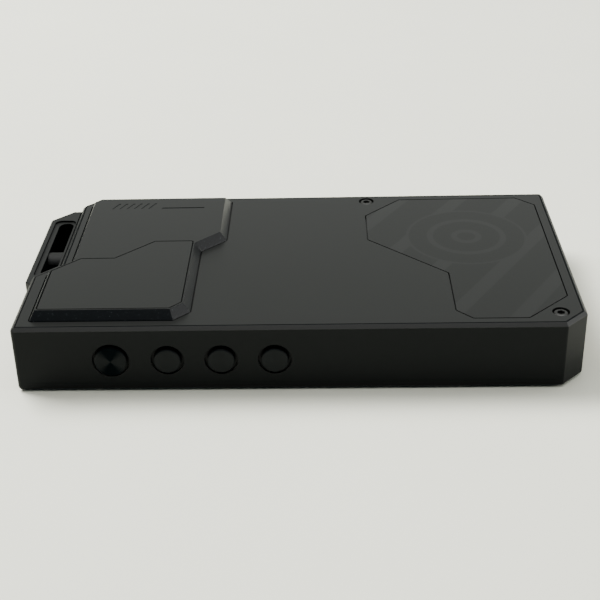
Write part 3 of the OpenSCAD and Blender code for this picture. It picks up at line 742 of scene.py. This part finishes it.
def plateSheets():
    s = plateShape
    rim = caseShape["rimWidth"] + s["gap"]
    outer = softPath([(rim + 0.15, top), (rim, top), (rim, ledge), (rim + 0.15, ledge)], [s["soft"], 0.03])
    outerRing = cornerRing(caseCorners, caseShape["radii"], rim + 0.15)
    panelFloor, coverFloor = top - s["inlay"], top - coverShape["sink"]
    window = np.array(rectangle(*s["window"]))
    topLoops = [outerRing, cornerRing(s["panel"], 0.6, -s["groove"] - 0.12),
                cornerRing(coverShape["foot"], coverShape["radii"], -s["coverGap"] - 0.12)]
    sunkLoops = [cornerRing(coverShape["foot"], coverShape["radii"], -s["coverGap"] + 0.12), window]
    underLoops = [outerRing, window]
    sheets = [
        band(caseCorners, caseShape["radii"], outer, upward),
        band(s["panel"], 0.6, mouthPath(s["groove"], panelFloor, top, 0.03), upward),
        flatFace([cornerRing(s["panel"], 0.6, -s["groove"] + 0.12)], panelFloor, upward),
        band(coverShape["foot"], coverShape["radii"], mouthPath(s["coverGap"], coverFloor, top), upward),
        (np.vstack([np.column_stack([window, np.full(4, z)]) for z in (coverFloor, ledge)]),
         gridFaces(2, 4).reshape(-1, 4).tolist()),
    ]
    r, hole, boss, bossBase = s["counterbore"], s["shankHole"], postShape["bossRadius"], postShape["bossTop"]
    for x, y, sink in s["screws"]:
        start, seat = (coverFloor if sink else top), top - s["seatDepth"] - sink
        bore = square(x, y, r)
        path = softPath([(-0.1, start), (0, start), (0, seat), (r - hole, seat), (r - hole, bossBase)],
                        [0.06, 0.03, 0.04])
        (sunkLoops if sink else topLoops).append(cornerRing(bore, r, -0.1, 12))
        sheets.append(band(bore, r, path, upward, 12))
        bossRing = cornerRing(square(x, y, boss), boss, 0, 12)
        underLoops.append(bossRing)
        sheets.append(band(square(x, y, boss), boss, np.array([(0, ledge), (0, bossBase)]), upward, 12))
        sheets.append(flatFace([bossRing, cornerRing(bore, r, r - hole, 12)], bossBase, upward))
    sheets.append(flatFace(topLoops, top, upward))
    sheets.append(flatFace(sunkLoops, coverFloor, upward))
    sheets.append(flatFace(underLoops, ledge, upward))
    return sheets


def slabSheets(corners, radii, low, high, soft):  # flat panel with softened edges
    path = softPath([(0.15, high), (0, high), (0, low), (0.15, low)], [soft, 0.03])
    return [band(corners, radii, path, upward),
            flatFace([cornerRing(corners, radii, 0.15)], high, upward),
            flatFace([cornerRing(corners, radii, 0.15)], low, upward)]


makePiece("back_plate_skin", plateSheets(), finishes["plate"], "case", ["back_plate"])
panelSheets = slabSheets(plateShape["panel"], 0.6, top - plateShape["inlay"], top, plateShape["soft"])
makePiece("back_panel", panelSheets, panelPrint(), "case", ["back_inlay"])


tileMargin = coverShape["slope"] + 0.5
tileShape = {
    "corners": [
        (coverLeft + tileMargin, coverFront + tileMargin), (-28.2, coverFront + tileMargin),
        (-23.65 - tileMargin, coverFront + tileMargin + 2.6), (-23.65 - tileMargin, 4.3),
        (-35.0, 4.3), (-43.8, -4.5), (-51.95, -4.5), (coverLeft + tileMargin, -10.55),
    ],
    "radii": 0.5,
    "depth": 0.7,
}
markShape = {  # a plain engraved row of slanted bars with a line after it
    "start": (-48.6, 23.4),
    "bars": 6,
    "pitch": 1.9,
    "width": 0.55,
    "height": 3.2,
    "lean": 1.5,
    "line": (-35.6, -24.6, 0.5),
    "depth": 0.12,
}


def markLoops():
    m = markShape
    x0, y0 = m["start"]
    loops = []
    for k in range(m["bars"]):
        x = x0 + k * m["pitch"]
        loops.append([(x, y0), (x + m["width"], y0), (x + m["width"] + m["lean"], y0 + m["height"]),
                      (x + m["lean"], y0 + m["height"])])
    a, b, thick = m["line"]
    loops.append([(a, y0), (b, y0), (b + 0.25, y0 + thick), (a + 0.25, y0 + thick)])
    return loops


def coverSheets():
    s, crown = coverShape, coverShape["top"]
    base, lift = top - s["sink"], top
    topInset = s["slope"] + 0.1
    path = softPath([(0.6, base), (0, base), (0, lift), (s["slope"], crown), (topInset, crown)],
                    [0.05, 0.08, 0.09])
    tileFloor = crown - tileShape["depth"]
    groove = plateShape["groove"]
    loops = [cornerRing(s["corners"], s["radii"], topInset),
             cornerRing(tileShape["corners"], tileShape["radii"], -groove - 0.06)]
    crownRing, footRing = cornerRing(s["corners"], s["radii"], s["slope"]), cornerRing(s["foot"], s["radii"])
    share = path[:, 0, None, None] / s["slope"]
    rings = np.where(share < 1, footRing + share * (crownRing - footRing),
                     np.stack([cornerRing(s["corners"], s["radii"], max(inset, 0)) for inset in path[:, 0]]))
    under = path[:, 1] < (base + lift) / 2
    rings[under] = np.stack([cornerRing(s["foot"], s["radii"], inset) for inset in path[under, 0]])
    sheets = [
        ringBand(rings, path[:, 1], upward),
        band(tileShape["corners"], tileShape["radii"],
             mouthPath(groove, tileFloor, crown, 0.04, 0.06), upward),
        flatFace([cornerRing(tileShape["corners"], tileShape["radii"], -groove + 0.06)], tileFloor, upward),
    ]
    for loop in markLoops():
        mark = np.array([(-0.02, crown), (0.0, crown - 0.02), (0.06, crown - markShape["depth"])])
        loops.append(cornerRing(loop, 0.08, -0.02, 4))
        sheets.append(band(loop, 0.08, mark, upward, 4))
        sheets.append(flatFace([cornerRing(loop, 0.08, 0.06, 4)], crown - markShape["depth"], upward))
    hollow = np.array(rectangle(-53, -25.5, -28, -4))
    ceiling = top + 0.65
    sheets += [
        flatFace(loops, crown, upward),
        flatFace([cornerRing(s["foot"], s["radii"], 0.6), hollow], base, upward),
        (np.vstack([np.column_stack([hollow, np.full(4, z)]) for z in (base, ceiling)]),
         gridFaces(2, 4).reshape(-1, 4).tolist()),
        flatFace([hollow], ceiling, upward),
    ]
    return sheets


makePiece("antenna_cover_skin", coverSheets(), finishes["cover"], "case", ["antenna_cover"], paintedGlintSlope(),
          lambda n, at: (n[:, 2] > 0.3) & (n[:, 2] < 0.93))
makePiece("antenna_tile", slabSheets(tileShape["corners"], tileShape["radii"],
                                     coverShape["top"] - tileShape["depth"], coverShape["top"], 0.05),
          blackFinish("satinTile", satin)[0], "case", ["antenna_inlay"])


screwShape = {
    "head": 1.72,
    "height": 1.28,
    "dome": 0.62,         # how far the rounded edge runs in and down
    "shank": 0.78,
    "length": 6.0,
    "socket": 0.78,       # from the middle to a flat
    "socketDepth": 0.75,
}


def hexagon(x, y, flat):
    angle = np.radians(np.arange(6) * 60 + 15)
    return np.stack([x + flat / math.cos(math.pi / 6) * np.cos(angle),
                     y + flat / math.cos(math.pi / 6) * np.sin(angle)], 1)


def screwSheets():
    s, sheets = screwShape, []
    for x, y, sink in plateShape["screws"]:
        seat = top - plateShape["seatDepth"] - sink
        crown = seat + s["height"]
        angle = np.linspace(0, 0.5 * np.pi, 8)  # quarter of an ellipse from the head's side to its flat top
        dome = np.stack([s["head"] - s["dome"] * (1 - np.cos(angle)),
                         crown - s["dome"] + s["dome"] * np.sin(angle)], 1)
        profile = np.vstack([[(0, seat - s["length"]), (s["shank"] - 0.2, seat - s["length"]),
                              (s["shank"], seat - s["length"] + 0.3), (s["shank"], seat),
                              (s["head"] - 0.05, seat), (s["head"], seat + 0.05)], dome])
        turnedVerts, turnedFaces = turned(profile, upward, x, y, 64)
        key = hexagon(x, y, s["socket"])
        path = softPath([(-0.08, crown), (0, crown - 0.08), (0, crown - s["socketDepth"]),
                         (0.1, crown - s["socketDepth"])], [0.04, 0.03])
        outerLoop = turnedVerts.reshape(-1, 64, 3)[-1, :, :2]
        sheets += [
            (turnedVerts, turnedFaces),
            flatFace([outerLoop, cornerRing(key, 0.06, -0.08, 4)], crown, upward),
            band(key, 0.06, path, upward, 4),
            flatFace([cornerRing(key, 0.06, 0.1, 4)], crown - s["socketDepth"], upward),
        ]
    return sheets


makePiece("back_screw_set", screwSheets(), finishes["screw_black"], "case", ["back_screws"])


# darker, duller finish for the keys' sides: painted shade of the gap round each key
keySideShade = plainFinish("keySidePaintedShade", (0.0010, 0.0011, 0.0012), 0.5, variation=0.3,
                      **{"Specular IOR Level": 0.08})


def buildKey(node, side):
    kind = keyShape["power" if node == "power_key" else "other"]
    x, _, z = middleOf(node)
    r, wall = kind["r"], caseShape["wall"]
    flangeRadius, flangeThick, flangeGap = keyShape["flange"]
    postRadius, postLength = keyShape["post"]
    under = -wall - flangeGap - flangeThick
    chamfer, proud = keyShape["chamfer"], keyShape["proud"]
    body = softPath([(0, under - postLength), (postRadius, under - postLength), (postRadius, under),
                     (flangeRadius, under), (flangeRadius, under + flangeThick), (r, under + flangeThick),
                     (r, proud - chamfer), (r - chamfer, proud), (r - chamfer - 0.3, proud)],
                    [0.05, 0.05, 0.05, 0.05, 0.05, 0.05, 0.05])
    # The dished face: its depth falls with the square of the distance from the rim.
    t = np.linspace(0, 1, 10)[1:]
    faceRadius = r - chamfer - 0.3
    dish = np.stack([faceRadius * (1 - t), proud - keyShape["dish"] * (1 - (1 - t) ** 2)], 1)
    mat = spunKey(node + "Face", (x * mm, 0, z * mm), node == "power_key")
    # the sides of the key take the painted shade finish
    makePiece(node + "_cap", [turned(np.vstack([body, dish]), side, x, z)], mat, node, [node],
              keySideShade, lambda n, at: np.abs(n[:, 1]) < 0.35)


for name in frontKeys:
    buildKey(name, frontward)
for name in rearKeys:
    buildKey(name, rearward)


def glassSheets():
    s = caseShape
    rim, thick = s["glassInset"] + 0.1, boxOf("display_glass")[1][2]
    path = softPath([(rim + 0.8, 0), (rim, 0), (rim, thick), (rim + 0.8, thick)], [0.3, 0.08], 7)
    ring = cornerRing(caseCorners, s["radii"], rim + 0.8)
    return [band(caseCorners, s["radii"], path, upward), flatFace([ring], 0, upward),
            flatFace([ring], thick, upward)]


makePiece("cover_glass", glassSheets(), finishes["glass"], "case", ["display_glass"])


ringShape = {
    "bore": {"headphone_ring": 1.8, "balanced_ring": 2.25},
    "face": 0.45,         # width of the flat face
    "flare": (0.35, 0.45, 0.8),  # how far the mouth opens out, and the depths where it bends and ends
}


def ringSheets(node):
    low, high = boxOf(node)
    middle, r = (low + high) / 2, (high[1] - low[1]) / 2
    bore, wall = ringShape["bore"][node], caseShape["wall"]
    opens, bend, end = ringShape["flare"]
    points = [(bore, -wall), (r, -wall), (r, 0), (r - ringShape["face"], 0),
              (bore + opens, -bend), (bore, -end), (bore, -wall)]
    profile = softPath(points, [0.03, 0.08, 0.08, 0.15, 0.15])
    return [turned(profile, endward, middle[1], middle[2], 72)]


for ring, node in (("headphone_socket_ring", "headphone_ring"), ("balanced_socket_ring", "balanced_ring")):
    makePiece(ring, ringSheets(node), finishes["gold"], "case", [node])


stageShape = {
    "floorSize": 6.0,
    "floorColour": (0.86, 0.865, 0.735),
    "room": [                        # by the height one looks at: low walls, upper walls, ceiling
        (0.40, (0.70, 0.725, 0.69)),
        (0.56, (0.46, 0.48, 0.455)),
        (0.72, (0.50, 0.52, 0.50)),
        (0.92, (2.1, 2.1, 2.08)),
    ],
    "front": (0.03, 0.05, 0.065),    # the dark side of the room, where one stands
}


def buildFloor():
    half = stageShape["floorSize"] / 2
    mesh = bpy.data.meshes.new("floor")
    corners = [(-half, -half, 0), (half, -half, 0), (half, half, 0), (-half, half, 0)]
    mesh.from_pydata(corners, [], [(0, 1, 2, 3)])
    floor = bpy.data.objects.new("floor", mesh)
    bpy.context.scene.collection.objects.link(floor)
    mat, tree, shader = newMaterial("paleTable")
    cloud = noise(tree, objectPoint(tree), 14, 4, 0.6)
    low, high = (tuple(c * k for c in stageShape["floorColour"]) for k in (0.985, 1.015))
    tree.links.new(colourRamp(tree, cloud, [(0.3, low), (0.7, high)]), shader.inputs["Base Color"])
    setSockets(shader, {"Roughness": 0.6, "Specular IOR Level": 0.2})
    mesh.materials.append(mat)


def areaLight(name, place, aim, size, power, glossy=True):
    data = bpy.data.lights.new(name, "AREA")
    data.shape = "RECTANGLE"
    data.size, data.size_y = size
    data.energy = power
    lamp = bpy.data.objects.new(name, data)
    lamp.visible_glossy = glossy
    lamp.location = place
    lamp.rotation_euler = (Vector(aim) - Vector(place)).to_track_quat("-Z", "Y").to_euler()
    bpy.context.scene.collection.objects.link(lamp)


def buildWorld():
    # A room by direction: pale walls, a bright ceiling, and a dark side in front of the player.
    world = bpy.data.worlds.new("softRoom")
    world.use_nodes = True
    tree = world.node_tree
    background = tree.nodes["Background"]
    coords = addNode(tree, "ShaderNodeTexCoord")
    parts = addNode(tree, "ShaderNodeSeparateXYZ")
    tree.links.new(coords.outputs["Generated"], parts.inputs["Vector"])
    facing = mapRange(tree, parts.outputs["Y"], -0.50, 0.0, 1.0, 0.0)
    low = mapRange(tree, parts.outputs["Z"], 0.76, 0.88, 1.0, 0.0)
    dark = math2(tree, "MULTIPLY", facing, low)
    room = colourRamp(tree, parts.outputs["Z"], stageShape["room"])
    mix = addNode(tree, "ShaderNodeMix", data_type="RGBA")
    tree.links.new(dark, mix.inputs["Factor"])
    tree.links.new(room, mix.inputs[6])
    mix.inputs[7].default_value = (*stageShape["front"], 1)
    tree.links.new(mix.outputs[2], background.inputs["Color"])
    background.inputs["Strength"].default_value = 1.0
    bpy.context.scene.world = world


cameraShape = {
    "place": (0.006508, -0.265960, 0.153885),
    "turn": (61.069, 1.728, 1.752),
    "lens": 73.64,
    "shift": (0.0446, -0.0162),
}


def buildCamera():
    data = bpy.data.cameras.new("camera")
    data.lens = cameraShape["lens"]
    data.sensor_width = 36
    data.shift_x, data.shift_y = cameraShape["shift"]
    data.clip_start = 0.01
    camera = bpy.data.objects.new("camera", data)
    camera.location = cameraShape["place"]
    camera.rotation_euler = [math.radians(a) for a in cameraShape["turn"]]
    bpy.context.scene.collection.objects.link(camera)
    bpy.context.scene.camera = camera


buildFloor()
buildWorld()
areaLight("ceilingPanel", (-0.60, 0.46, 1.0), (0, 0, 0), (0.7, 0.5), 34, glossy=False)
areaLight("sidePanel", (0.9, -0.05, 0.3), (0.03, 0, 0.01), (0.5, 0.4), 3.2)
buildCamera()
print("stage ready")
